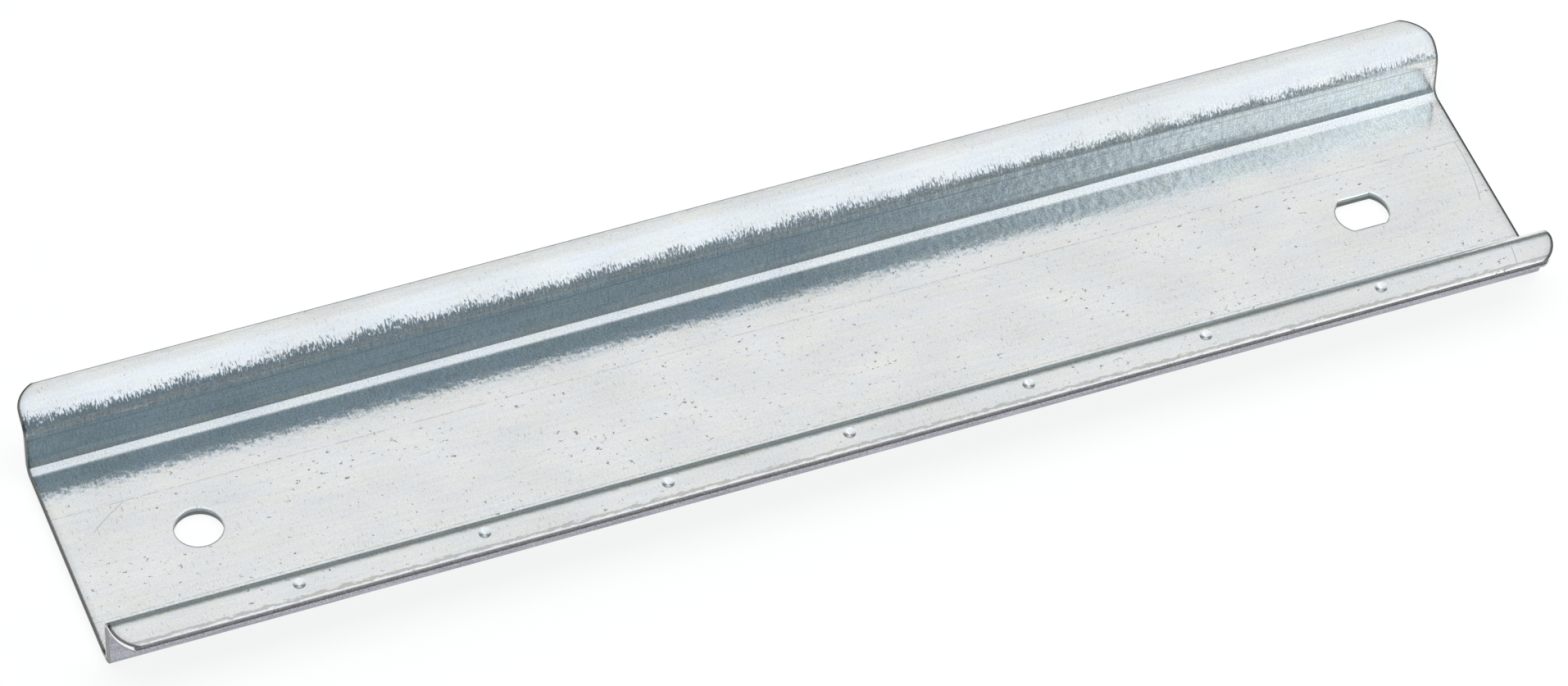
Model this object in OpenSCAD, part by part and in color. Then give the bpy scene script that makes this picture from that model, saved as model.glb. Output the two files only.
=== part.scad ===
// Short length of 35 mm top-hat mounting rail, cold rolled from galvanised strip.
// The rail lies along X with its open side up. The origin is at the middle of the
// underside of the web, +Y points to the plain flange and -Y to the marked flange.

/* [Section] */
// Length of the rail
rail_l = 148; // [80:0.5:2000]
// Width over both flanges
rail_w = 35; // [33:0.5:60]
// Height from the underside of the web to the top of the flanges
rail_h = 7.5; // [5:0.5:20]
// Outside width of the hat, wall to wall
hat_w = 27; // [20:0.5:28]
// Thickness of the strip
sheet_t = 1; // [0.6:0.1:1.5]
// Inside radius of the two bends between web and walls
foot_bend_r = 0.9; // [0.2:0.1:1.2]
// Inside radius of the two bends between walls and flanges
top_bend_r = 1.3; // [0.2:0.1:1.8]

/* [Flange corners] */
// Radius of the arc that the shear leaves at each corner
corner_r = 4; // [3:0.1:6]
// Length that the arc takes off the edge of the plain flange
plain_corner_run = 2.2; // [0.5:0.05:2.6]
// Length that the arc takes off the edge of the marked flange
marked_corner_run = 1.75; // [0.5:0.05:2.6]

/* [Fixing holes] */
// Diameter of the round hole
hole_d = 4.8; // [3:0.1:8]
// Distance from the left end to the middle of the round hole
hole_inset = 13.3; // [8:0.1:30]
// Length of the oblong hole, along the rail
slot_l = 5.4; // [4.3:0.1:8]
// Width of the oblong hole, between its two flats
slot_w = 4.2; // [2:0.1:4.2]
// Distance from the right end to the middle of the oblong hole
slot_inset = 13.4; // [8:0.1:30]

/* [Punch marks] */
// Distance between neighbouring marks on the flange
mark_pitch = 18.5; // [5:0.5:50]
// Distance from the left end to the first mark
mark_first = 18.5; // [5:0.5:50]
// Distance from the flange's edge to the marks
mark_inset = 2.2; // [1.5:0.1:2.5]
// Diameter of a mark at the surface
mark_d = 1.3; // [0.5:0.1:1.8]
// Depth of a mark at its point
mark_depth = 0.3; // [0.1:0.05:0.5]

/* [Hidden] */
$fn = 96;
// Outside radii of the bends: the strip wraps round the inside radius
foot_outer_r = foot_bend_r + sheet_t;
top_outer_r = top_bend_r + sheet_t;
// Outer face of a wall, measured from the middle plane
wall_y = hat_w / 2;
// Edge of a flange, measured from the middle plane
edge_y = rail_w / 2;
left_x = -rail_l / 2;
right_x = rail_l / 2;
// Number of marks that fit between the first one and its mirror at the other end
mark_count = floor((rail_l - 2 * mark_first) / mark_pitch + 0.001) + 1;
// Length by which a cutter runs past the face that it cuts
over = 1;

// Quarter of a ring: the strip bent by 90 degrees round inside_r about y, z. At turn 0 it
// is the quarter on the side of +Y and +Z
module bend(inside_r, y, z, turn) {
    translate([y, z])
        intersection() {
            difference() {
                circle(r = inside_r + sheet_t);
                circle(r = inside_r);
            }
            rotate(turn) square(inside_r + sheet_t);
        }
}

// Half of the section, from the middle of the web to the edge of one flange
module half_section() {
    // half of the web
    square([wall_y - foot_outer_r, sheet_t]);
    // web to wall
    bend(foot_bend_r, wall_y - foot_outer_r, foot_outer_r, -90);
    // wall
    translate([wall_y - sheet_t, foot_outer_r])
        square([sheet_t, rail_h - foot_outer_r - top_outer_r]);
    // wall to flange
    bend(top_bend_r, wall_y + top_bend_r, rail_h - top_outer_r, 90);
    // flange
    translate([wall_y + top_bend_r, rail_h - sheet_t])
        square([edge_y - wall_y - top_bend_r, sheet_t]);
}

// The whole rolled section drawn out along X
module rolled_strip() {
    translate([left_x, 0, 0])
        rotate([90, 0, 90])
            linear_extrude(rail_l) {
                half_section();
                mirror([1, 0]) half_section();
            }
}

// Distance from the flange's edge to the middle of the arc that cuts the run off that edge.
// The arc meets the end square, so its middle lies one radius in from the end
function corner_depth(run) = sqrt(corner_r ^ 2 - (corner_r - run) ^ 2);

// What the shear takes off the +X corner of the +Y flange, from the foot of its bend up
module corner_cut(run) {
    depth = corner_depth(run);
    cut_h = top_outer_r + over;
    translate([right_x - corner_r, edge_y - depth, rail_h - top_outer_r])
        difference() {
            cube([corner_r + over, depth + over, cut_h]);
            cylinder(r = corner_r, h = cut_h);
        }
}

// The same cut at both ends of a flange
module corner_cuts(run) {
    corner_cut(run);
    mirror([1, 0, 0]) corner_cut(run);
}

// Round fixing hole through the web
module round_hole() {
    translate([left_x + hole_inset, 0, -over])
        cylinder(d = hole_d, h = sheet_t + 2 * over);
}

// Oblong fixing hole through the web: a round punch with two flats
module oblong_hole() {
    translate([right_x - slot_inset, 0, -over])
        intersection() {
            cylinder(d = slot_l, h = sheet_t + 2 * over);
            translate([-slot_l, -slot_w / 2, 0])
                cube([2 * slot_l, slot_w, sheet_t + 2 * over]);
        }
}

// Conical punch mark, its point downwards
module punch_mark() {
    cylinder(d1 = 0, d2 = 2 * mark_d, h = 2 * mark_depth);
}

// The row of punch marks along the -Y flange
module punch_marks() {
    for (i = [0 : mark_count - 1])
        translate([left_x + mark_first + i * mark_pitch, mark_inset - edge_y, rail_h - mark_depth])
            punch_mark();
}

module rail() {
    color("gainsboro")
        difference() {
            rolled_strip();
            corner_cuts(plain_corner_run);
            mirror([0, 1, 0]) corner_cuts(marked_corner_run);
            round_hole();
            oblong_hole();
            punch_marks();
        }
}

rail();
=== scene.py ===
"""Short length of 35 mm top-hat mounting rail in galvanised strip, with its finish and studio.

The rail is made in the order of the real one. A flat blank is sheared from slit strip and its
two fixing holes are punched. A roll former then bends the blank to the top-hat section and
punches the row of marks. The finishes are the zinc coat and the bare steel of the cut edges.
"""
import logging
import math
from dataclasses import dataclass
from typing import Callable, Iterable, Sequence

import bmesh
import bpy
from mathutils import Matrix, Vector


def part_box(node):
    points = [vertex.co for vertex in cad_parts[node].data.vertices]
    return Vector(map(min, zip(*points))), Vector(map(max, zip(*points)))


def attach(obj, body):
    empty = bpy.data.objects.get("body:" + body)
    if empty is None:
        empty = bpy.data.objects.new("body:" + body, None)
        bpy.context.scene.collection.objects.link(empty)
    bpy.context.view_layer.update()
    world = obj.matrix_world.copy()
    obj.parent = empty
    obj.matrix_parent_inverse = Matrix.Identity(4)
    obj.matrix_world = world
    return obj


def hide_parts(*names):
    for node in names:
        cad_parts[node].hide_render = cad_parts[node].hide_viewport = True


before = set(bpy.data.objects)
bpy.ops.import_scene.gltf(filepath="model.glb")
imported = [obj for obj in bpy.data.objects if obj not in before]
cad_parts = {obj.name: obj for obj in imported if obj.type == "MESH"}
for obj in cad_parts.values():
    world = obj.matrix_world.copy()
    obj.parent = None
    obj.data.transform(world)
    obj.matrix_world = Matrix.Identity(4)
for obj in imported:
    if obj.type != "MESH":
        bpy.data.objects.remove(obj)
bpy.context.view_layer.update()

log = logging.getLogger("rail")

MM = 0.001
QUARTER = math.pi / 2


# ---------------------------------------------------------------- node trees


class Signal:
    """A number socket of a node tree. Python arithmetic on it adds Math nodes."""

    def __init__(self, bench: "Bench", socket: bpy.types.NodeSocket) -> None:
        """Keep the output socket that carries the number, and the builder of its tree."""
        self.bench = bench
        self.socket = socket

    def math(self, operation: str, *others: "Signal | float") -> "Signal":
        """Apply one Math node to this number and to others."""
        links = dict(enumerate((self, *others)))
        return self.bench.signal("ShaderNodeMath", {"operation": operation}, links)

    def __add__(self, other: "Signal | float") -> "Signal":
        """Add."""
        return self.math("ADD", other)

    def __radd__(self, other: float) -> "Signal":
        """Add to a plain number."""
        return self.math("ADD", other)

    def __sub__(self, other: "Signal | float") -> "Signal":
        """Subtract."""
        return self.math("SUBTRACT", other)

    def __rsub__(self, other: float) -> "Signal":
        """Subtract from a plain number."""
        return (-self).math("ADD", other)

    def __mul__(self, other: "Signal | float") -> "Signal":
        """Multiply."""
        return self.math("MULTIPLY", other)

    def __rmul__(self, other: float) -> "Signal":
        """Multiply a plain number."""
        return self.math("MULTIPLY", other)

    def __truediv__(self, other: "Signal | float") -> "Signal":
        """Divide."""
        return self.math("DIVIDE", other)

    def __neg__(self) -> "Signal":
        """Turn the sign."""
        return self.math("MULTIPLY", -1.0)

    def low(self, other: "Signal | float") -> "Signal":
        """Take the smaller of two."""
        return self.math("MINIMUM", other)

    def high(self, other: "Signal | float") -> "Signal":
        """Take the larger of two."""
        return self.math("MAXIMUM", other)

    def kept(self, lowest: "Signal | float", highest: "Signal | float") -> "Signal":
        """Keep the number between two others."""
        return self.high(lowest).low(highest)

    def over(self, threshold: "Signal | float") -> "Signal":
        """Give 1 where the number is above the threshold, else 0."""
        return self.math("GREATER_THAN", threshold)

    def size(self) -> "Signal":
        """Drop the sign."""
        return self.math("ABSOLUTE")

    def side(self) -> "Signal":
        """Give -1, 0 or 1 for the sign."""
        return self.math("SIGN")

    def step(self, start: float, end: float) -> "Signal":
        """Rise smoothly from 0 at start to 1 at end; start may lie above end."""
        links = {"Value": self, "From Min": start, "From Max": end}
        return self.bench.signal("ShaderNodeMapRange", {"interpolation_type": "SMOOTHSTEP"}, links)


class Bench:
    """Builds one node tree, of any kind."""

    def __init__(self, tree: bpy.types.NodeTree) -> None:
        """Start on an empty tree."""
        self.tree = tree
        tree.nodes.clear()

    def node(self, kind: str, settings: dict | None = None,
             links: dict | None = None) -> bpy.types.Node:
        """Add a node, make its settings and fill its inputs.

        Args:
            kind: the node's type name.
            settings: attributes of the node.
            links: values, sockets or signals for its inputs, by name or place.

        Returns:
            The new node.
        """
        node = self.tree.nodes.new(kind)
        for name, value in (settings or {}).items():
            setattr(node, name, value)
        for key, value in (links or {}).items():
            self.link(node.inputs[key], value)
        return node

    def link(self, target: bpy.types.NodeSocket, value: object) -> None:
        """Give an input a link or a plain value.

        Args:
            target: the input.
            value: a signal, a socket, or a plain value.
        """
        if isinstance(value, Signal):
            value = value.socket
        if isinstance(value, bpy.types.NodeSocket):
            self.tree.links.new(value, target)
        else:
            target.default_value = value

    def signal(self, kind: str, settings: dict | None = None, links: dict | None = None) -> Signal:
        """Add a node and give its first output as a number."""
        return Signal(self, self.node(kind, settings, links).outputs[0])

    def mix(self, factor: Signal, below: object, above: object) -> bpy.types.NodeSocket:
        """Mix two colours.

        Args:
            factor: 0 gives the first colour, 1 the second.
            below: first colour, as a socket or three numbers.
            above: second colour, as a socket or three numbers.

        Returns:
            The mixed colour's socket.
        """
        node = self.node("ShaderNodeMix", {"data_type": "RGBA"}, {0: factor})
        for place, colour in ((6, below), (7, above)):
            self.link(node.inputs[place], colour if hasattr(colour, "node") else (*colour, 1.0))
        return node.outputs[2]

    def vector(self, operation: str, *operands: object) -> bpy.types.NodeSocket:
        """Apply one Vector Math node to sockets or three numbers each."""
        links = dict(enumerate(operands))
        return self.node("ShaderNodeVectorMath", {"operation": operation}, links).outputs[0]

    def split(self, vector: bpy.types.NodeSocket) -> list[Signal]:
        """Split a vector into its three numbers."""
        parts = self.node("ShaderNodeSeparateXYZ", None, {0: vector})
        return [Signal(self, socket) for socket in parts.outputs]

    def shaded(self, colour: object, factor: Signal) -> bpy.types.NodeSocket:
        """Multiply a colour, given as a socket or three numbers, by a number."""
        links = {"Vector": colour, "Scale": factor}
        return self.node("ShaderNodeVectorMath", {"operation": "SCALE"}, links).outputs[0]

    def attribute(self, name: str) -> Signal:
        """Read a number that the mesh holds under a name."""
        node = self.node("ShaderNodeAttribute", {"attribute_name": name})
        return Signal(self, node.outputs["Fac"])

    def bump(self, height: Signal, depth: float, strength: float) -> bpy.types.NodeSocket:
        """Turn a height pattern of a depth in metres into a normal."""
        links = {"Strength": strength, "Distance": depth, "Height": height}
        return self.node("ShaderNodeBump", None, links).outputs[0]

    def metal(self, colour: bpy.types.NodeSocket, rough: Signal,
              normal: bpy.types.NodeSocket) -> None:
        """End a material's tree in a metal.

        Args:
            colour: the metal's colour.
            rough: its roughness.
            normal: its normal.
        """
        links = {"Metallic": 1.0, "Base Color": colour, "Roughness": rough, "Normal": normal}
        shader = self.node("ShaderNodeBsdfPrincipled", None, links)
        self.node("ShaderNodeOutputMaterial", None, {0: shader.outputs[0]})

    def blend(self, factor: object, below: bpy.types.Node,
              above: bpy.types.Node) -> bpy.types.NodeSocket:
        """Mix two shaders, where a factor of 1 gives the second."""
        links = {0: factor, 1: below.outputs[0], 2: above.outputs[0]}
        return self.node("ShaderNodeMixShader", None, links).outputs[0]


def add_object(name: str, data: bpy.types.ID) -> bpy.types.Object:
    """Make an object of its data and put it in the scene.

    Args:
        name: the object's name.
        data: its mesh, light or camera.

    Returns:
        The object.
    """
    made = bpy.data.objects.new(name, data)
    bpy.context.scene.collection.objects.link(made)
    return made


def new_material(name: str) -> tuple[bpy.types.Material, Bench]:
    """Start a material.

    Args:
        name: the material's name.

    Returns:
        The material and the builder of its empty tree.
    """
    made = bpy.data.materials.new(name)
    made.use_nodes = True
    return made, Bench(made.node_tree)


# ---------------------------------------------------------------- section and blank


@dataclass(frozen=True)
class TopHatSection:
    """Section of the rail, as the part's source states it, in metres."""

    length: float
    width: float
    height: float
    hat_width: float = 27.0 * MM
    sheet: float = 1.0 * MM
    foot_bend: float = 0.9 * MM
    top_bend: float = 1.3 * MM

    @property
    def foot_mid(self) -> float:
        """Radius of the foot bend at the middle of the strip's thickness."""
        return self.foot_bend + self.sheet / 2

    @property
    def top_mid(self) -> float:
        """Radius of the top bend at the middle of the strip's thickness."""
        return self.top_bend + self.sheet / 2

    @property
    def runs(self) -> tuple[float, float, float, float, float]:
        """Lengths of half the strip.

        Returns:
            The lengths of web, foot bend, wall, top bend and flange.
        """
        web = self.hat_width / 2 - self.sheet - self.foot_bend
        wall = self.height - 2 * self.sheet - self.foot_bend - self.top_bend
        flange = (self.width - self.hat_width) / 2 - self.top_bend
        return web, QUARTER * self.foot_mid, wall, QUARTER * self.top_mid, flange

    @property
    def ends(self) -> tuple[float, float, float, float]:
        """Where web, foot bend, wall and top bend end, from the middle of the strip."""
        web, foot, wall, top, _ = self.runs
        return web, web + foot, web + foot + wall, web + foot + wall + top

    @property
    def strip_half(self) -> float:
        """Half the width of the flat strip."""
        return sum(self.runs)

    def reach(self, across: float) -> float:
        """Find how far from the middle plane a place on the strip comes to lie.

        Args:
            across: distance of the place from the middle of the flat strip.

        Returns:
            Its distance from the middle plane in the folded rail.
        """
        _, foot, _, top, _ = self.runs
        web, _, wall_end, top_end = self.ends
        away = abs(across)
        foot_turn = min(max(away - web, 0.0), foot) / self.foot_mid
        top_turn = min(max(away - wall_end, 0.0), top) / self.top_mid
        inner = min(away, web) + self.foot_mid * math.sin(foot_turn)
        return inner + self.top_mid * (1 - math.cos(top_turn)) + max(away - top_end, 0.0)


@dataclass(frozen=True)
class CornerShear:
    """Arc that the shear leaves at the corners of a flange."""

    run: float
    radius: float = 4.0 * MM

    def inset(self, section: TopHatSection, across: float) -> tuple[float, float]:
        """Find what the arc takes off the end at a place on the strip.

        Args:
            section: the rail's section.
            across: distance of the place from the middle of the flat strip.

        Returns:
            The length taken off, and the slope of the cut against a square end.
        """
        depth = math.sqrt(self.radius ** 2 - (self.radius - self.run) ** 2)
        past = section.reach(across) - (section.width / 2 - depth)
        if past <= 0:
            return 0.0, 0.0
        rest = math.sqrt(self.radius ** 2 - past ** 2)
        return self.radius - rest, past / rest


@dataclass(frozen=True)
class CutEdge:
    """Profile that a shear or punch leaves: rounded roll-over, bright land, torn land."""

    roll_width: float
    roll_depth: float
    lean: float
    roll_steps: int = 6

    # the cut wall: its first row, as a share of the thickness below the roll-over, then the
    # others, as shares of the thickness and of the lean
    upper_row: float = 0.1
    rows: tuple = ((0.3, 0.0), (0.42, 0.0), (0.46, 0.4), (0.7, 0.7), (0.93, 1.0), (0.98, 1.3))

    @property
    def foot_lean(self) -> float:
        """How far the foot of the cut lies under the metal."""
        return 1.5 * self.lean

    def roll_offsets(self) -> list[float]:
        """Give the distances from the cut at which the roll-over needs a row of points."""
        turns = (QUARTER * k / self.roll_steps for k in range(self.roll_steps, -1, -1))
        return [self.roll_width * (1 - math.sin(turn)) for turn in turns]

    def drop(self, distance: float) -> float:
        """Give how far the surface has rolled down at a distance from the cut."""
        share = min(max(distance / self.roll_width, 0.0), 1.0)
        return self.roll_depth * (1 - math.sqrt(1 - (1 - share) ** 2))

    def wall_levels(self, sheet: float) -> list[tuple[float, float]]:
        """List depth below the top face and lean under the metal of the cut wall's rows."""
        rows = [(self.roll_depth + self.upper_row * sheet, 0.0)]
        return rows + [(depth * sheet, lean * self.lean) for depth, lean in self.rows]


@dataclass(frozen=True)
class Opening:
    """Something punched in the strip, with its outline as a distance from its middle.

    The square patch that it takes up in the blank reaches by its field clear to each side.
    """

    along: float
    across: float
    clear: float
    outline: Callable[[float], float]
    corners: tuple[float, ...] = ()
    through: bool = True


def round_outline(radius: float) -> Callable[[float], float]:
    """Give the outline of a round punch."""
    return lambda turn: radius


def flatted_outline(radius: float, flat: float) -> Callable[[float], float]:
    """Give the outline of a round punch with two flats along the rail."""
    return lambda turn: min(radius, flat / max(abs(math.sin(turn)), 1e-6))


@dataclass(frozen=True)
class Ring:
    """One ring of points round an opening: a share of the way in, or an offset from the outline."""

    share: float = 1.0
    offset: float = 0.0
    factor: float = 1.0


def spread(start: float, end: float, cells: int) -> list[float]:
    """Divide a length into equal cells and list the stations, both ends included."""
    return [start + (end - start) * k / cells for k in range(cells + 1)]


def merged(groups: Iterable[Sequence[float]], gap: float) -> list[float]:
    """Merge lists of stations in order of importance.

    Args:
        groups: lists of stations, the most important first.
        gap: a station nearer than this to one already kept is dropped.

    Returns:
        The stations in rising order.
    """
    kept: list[float] = []
    for group in groups:
        kept += [place for place in group if all(abs(place - other) > gap for other in kept)]
    return sorted(kept)


@dataclass
class Blank:
    """Flat blank of the rail: x runs along it, y across it and z through its thickness."""

    section: TopHatSection
    plain: CornerShear
    marked: CornerShear
    openings: Sequence[Opening]
    end_cut: CutEdge = CutEdge(0.45 * MM, 0.13 * MM, 0.14 * MM)
    slit_cut: CutEdge = CutEdge(0.28 * MM, 0.1 * MM, 0.06 * MM)
    hole_cut: CutEdge = CutEdge(0.32 * MM, 0.09 * MM, 0.05 * MM)

    # stations along the rail
    end_zone: float = 3.0 * MM
    end_cells: int = 5
    body_inset: float = 6.0 * MM
    body_cells: int = 68
    hole_cells: int = 18
    mark_cells: int = 8
    least_cell: float = 0.15 * MM

    # cells across half the strip, between the stations that _rows sets
    side_cells: tuple = (9, 10, 12, 6, 12, 3, 5, 3)

    # rings of the patches: shares of the way in, and a mark's radii as shares of its own
    hole_shares: tuple = (0.3, 0.65)
    mark_shares: tuple = (0.35, 0.7)
    mark_factors: tuple = (1.25, 1.08, 1.0, 0.9, 0.7, 0.5, 0.3, 0.12)

    def __post_init__(self) -> None:
        """Set out the rows and columns of the blank and start its mesh."""
        self.rows = self._rows()
        self.columns = self._columns()
        self.end_offsets = self.end_cut.roll_offsets()
        self.end_offsets += spread(self.end_cut.roll_width, self.end_zone, self.end_cells)[1:]
        self.bm = bmesh.new()
        self.depth_layer = self.bm.verts.layers.float.new("shear_depth")
        self.gap_layer = self.bm.verts.layers.float.new("end_gap")
        self.cut_layer = self.bm.faces.layers.int.new("sheared")

    def _rows(self) -> list[float]:
        """List the stations across the strip, close together in the bends.

        Returns:
            The stations from the marked flange's edge to the plain one's.
        """
        web, foot_end, wall_end, top_end = self.section.ends
        half = self.section.strip_half
        hole = next(item for item in self.openings if item.through)
        mark = next(item for item in self.openings if not item.through)
        inner, outer = abs(mark.across) - mark.clear, abs(mark.across) + mark.clear
        stations = (hole.clear, web, foot_end, wall_end, inner, top_end, outer,
                    half - self.slit_cut.roll_width)
        side = [0.0]
        for start, end, cells in zip((0.0, *stations), stations, self.side_cells):
            side += spread(start, end, cells)[1:]
        side[-1:] = [half - offset for offset in reversed(self.slit_cut.roll_offsets())]
        return [-place for place in reversed(side[1:])] + side

    def _columns(self) -> list[float]:
        """List the stations along the rail between its two end zones.

        Returns:
            The stations in rising order. Those round marks and holes push out even ones.
        """
        end = self.section.length / 2 - self.body_inset
        marks, holes = [], []
        for item in self.openings:
            cells, group = (self.hole_cells, holes) if item.through else (self.mark_cells, marks)
            group.append(spread(item.along - item.clear, item.along + item.clear, cells))
        return merged([*marks, *holes, spread(-end, end, self.body_cells)], self.least_cell)

    def _end(self, across: float) -> tuple[float, float]:
        """Find where a row of the blank ends.

        Args:
            across: the row's place across the strip.

        Returns:
            Half the length of the blank at the row, and the slope of its end there.
        """
        shear = self.plain if across > 0 else self.marked
        inset, slope = shear.inset(self.section, across)
        return self.section.length / 2 - inset, slope

    def _top(self, along: float, across: float, end_gap: float) -> Vector:
        """Place a point on the top face, lowered where the cut edges roll over.

        Args:
            along: place along the rail.
            across: place across the strip.
            end_gap: distance from the cut end.

        Returns:
            The point.
        """
        edge_gap = self.section.strip_half - abs(across)
        drop = max(self.slit_cut.drop(edge_gap), self.end_cut.drop(end_gap))
        return Vector((along, across, self.section.sheet / 2 - drop))

    def _under(self, along: float, across: float, end_gap: float) -> Vector:
        """Place a point on the lower face, drawn in where the cut edges lean.

        Args:
            along: place along the rail.
            across: place across the strip.
            end_gap: distance from the cut end.

        Returns:
            The point.
        """
        edge_gap = self.section.strip_half - abs(across)
        end_pull = self.end_cut.foot_lean * max(1 - end_gap / self.end_offsets[-1], 0.0)
        side_pull = self.slit_cut.foot_lean * max(1 - edge_gap / self.slit_cut.roll_width, 0.0)
        pulled = (along - math.copysign(end_pull, along), across - math.copysign(side_pull, across))
        return Vector((*pulled, -self.section.sheet / 2))

    def _row_points(self, across: float) -> list[tuple[float, float]]:
        """Set out the points of a row.

        Args:
            across: the row's place across the strip.

        Returns:
            Each point's place along the rail and its distance from the cut end.
        """
        half, slope = self._end(across)
        stretch = math.sqrt(1 + slope ** 2)
        zone = self.end_offsets[-1]
        ends = []
        for offset in self.end_offsets:
            share = 1 - offset / zone
            ends.append((offset * (1 + (stretch - 1) * share ** 2), offset))
        left = [(reach - half, offset) for reach, offset in ends]
        right = [(half - reach, offset) for reach, offset in reversed(ends)]
        return left + [(place, zone) for place in self.columns] + right

    def build(self) -> bpy.types.Mesh:
        """Make the blank.

        Returns:
            A closed mesh, its cut faces marked by the attributes sheared and shear_depth.
            The attribute end_gap holds each point's distance from the cut end.
        """
        top_loops, bottom_loops = self._sheet(top=True), self._sheet(top=False)
        for upper, lower, cut in zip(top_loops, bottom_loops, self._cuts()):
            self._wall(upper, lower, cut)
        mesh = bpy.data.meshes.new("blank")
        self.bm.to_mesh(mesh)
        self.bm.free()
        return mesh

    def _cuts(self) -> list[CutEdge]:
        """List the cut of each loop that _sheet returns."""
        return [self.end_cut] + [self.hole_cut for item in self.openings if item.through]

    def _sheet(self, top: bool) -> list[list[bmesh.types.BMVert]]:
        """Make one face of the strip.

        Args:
            top: whether it is the face that looks up in the finished web.

        Returns:
            The loop of points round the blank, then one round each hole.
        """
        placed = self._top if top else self._under
        grid = []
        for across in self.rows:
            row = []
            for along, end_gap in self._row_points(across):
                vert = self.bm.verts.new(placed(along, across, end_gap))
                vert[self.gap_layer] = end_gap
                row.append(vert)
            grid.append(row)
        blocks = [self._block(grid, item) for item in self.openings]
        for j in range(len(grid) - 1):
            for i in range(len(grid[0]) - 1):
                if not any(a <= i < b and c <= j < d for a, b, c, d in blocks):
                    corners = [grid[j][i], grid[j][i + 1], grid[j + 1][i + 1], grid[j + 1][i]]
                    self._face(corners, top)
        loops = [self._rim(grid)]
        for item, block in zip(self.openings, blocks):
            loop = self._patch(grid, item, block, top)
            if item.through:
                loops.append(loop)
        for vert in [v for v in self.bm.verts if not v.link_faces]:
            self.bm.verts.remove(vert)
        return loops

    def _face(self, corners: Sequence[bmesh.types.BMVert], up: bool) -> None:
        """Add a smooth face, turned so that it looks up or down."""
        face = self.bm.faces.new(corners if up else list(reversed(corners)))
        face.smooth = True

    def _block(self, grid: list, item: Opening) -> tuple[int, int, int, int]:
        """Find the block of cells that an opening's patch takes the place of.

        Args:
            grid: the rows of points.
            item: the opening.

        Returns:
            First and last column, first and last row.
        """
        columns = [vert.co.x for vert in grid[len(grid) // 2]]
        block = []
        for places, middle in ((columns, item.along), (self.rows, item.across)):
            for wanted in (middle - item.clear, middle + item.clear):
                block.append(min(range(len(places)), key=lambda k: abs(places[k] - wanted)))
        return tuple(block)

    @staticmethod
    def _ring(grid: list, block: tuple[int, int, int, int]) -> list[bmesh.types.BMVert]:
        """List the points round a block of the grid.

        Args:
            grid: the rows of points.
            block: first and last column, first and last row.

        Returns:
            The points, counter-clockwise seen from the top.
        """
        a, b, c, d = block
        ring = [grid[c][i] for i in range(a, b)] + [grid[j][b] for j in range(c, d)]
        ring += [grid[d][i] for i in range(b, a, -1)] + [grid[j][a] for j in range(d, c, -1)]
        return ring

    def _rim(self, grid: list) -> list[bmesh.types.BMVert]:
        """List the points round the whole sheet, counter-clockwise seen from the top."""
        return self._ring(grid, (0, len(grid[0]) - 1, 0, len(grid) - 1))

    def _patch(self, grid: list, item: Opening, block: tuple[int, int, int, int],
               top: bool) -> list[bmesh.types.BMVert]:
        """Fill a block with rings of faces that run in to the opening's outline.

        Args:
            grid: the rows of points.
            item: the opening.
            block: its block of cells.
            top: whether this is the top face.

        Returns:
            The innermost ring.
        """
        ring = self._ring(grid, block)
        outer = [vert.co.copy() for vert in ring]
        turns = [math.atan2(place.y - item.across, place.x - item.along) for place in outer]
        for corner in item.corners:
            gaps = [abs(math.remainder(turn - corner, math.tau)) for turn in turns]
            turns[gaps.index(min(gaps))] = corner
        middle = Vector((item.along, item.across, outer[0].z))
        for step in self._rings(item, top):
            fresh = []
            for turn, rim in zip(turns, outer):
                radius = item.outline(turn) * step.factor + step.offset
                place = middle + radius * Vector((math.cos(turn), math.sin(turn), 0.0))
                if top and item.through:
                    place.z -= self.hole_cut.drop(step.offset)
                vert = self.bm.verts.new(rim.lerp(place, step.share))
                vert[self.gap_layer] = self.end_offsets[-1]
                fresh.append(vert)
            for k in range(len(ring)):
                m = (k + 1) % len(ring)
                self._face([ring[k], ring[m], fresh[m], fresh[k]], top)
            ring = fresh
        if not item.through:
            centre = self.bm.verts.new(middle)
            centre[self.gap_layer] = self.end_offsets[-1]
            for k in range(len(ring)):
                self._face([ring[k], ring[(k + 1) % len(ring)], centre], top)
        return ring

    def _rings(self, item: Opening, top: bool) -> list[Ring]:
        """List the rings of a patch from the outside in.

        Args:
            item: the opening.
            top: whether this is the top face.

        Returns:
            The rings.
        """
        if not item.through:
            widest = self.mark_factors[0]
            rings = [Ring(share=share, factor=widest) for share in self.mark_shares]
            return rings + [Ring(factor=factor) for factor in self.mark_factors]
        roll = self.hole_cut.roll_width
        rings = [Ring(share=share, offset=roll) for share in self.hole_shares]
        offsets = reversed(self.hole_cut.roll_offsets()) if top else (roll, self.hole_cut.foot_lean)
        return rings + [Ring(offset=offset) for offset in offsets]

    def _wall(self, upper: list, lower: list, cut: CutEdge) -> None:
        """Join a loop of the top face to its loop below with the cut's profile.

        Args:
            upper: loop of the top face.
            lower: the same loop of the lower face.
            cut: profile of the cut.
        """
        sheet = self.section.sheet
        loops = [upper]
        for depth, lean in cut.wall_levels(sheet):
            share = lean / cut.foot_lean
            loop = []
            for high, under in zip(upper, lower):
                place = high.co.lerp(under.co, share)
                place.z = sheet / 2 - depth
                vert = self.bm.verts.new(place)
                vert[self.depth_layer] = depth / sheet
                loop.append(vert)
            loops.append(loop)
        loops.append(lower)
        for vert in lower:
            vert[self.depth_layer] = 1.0
        for above, below in zip(loops, loops[1:]):
            for k in range(len(above)):
                m = (k + 1) % len(above)
                corners = [above[k], below[k], below[m], above[m]]
                face = self.bm.faces.new(corners if cut is self.end_cut else corners[::-1])
                face.smooth = True
                face[self.cut_layer] = 1


# ---------------------------------------------------------------- roll former


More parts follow.
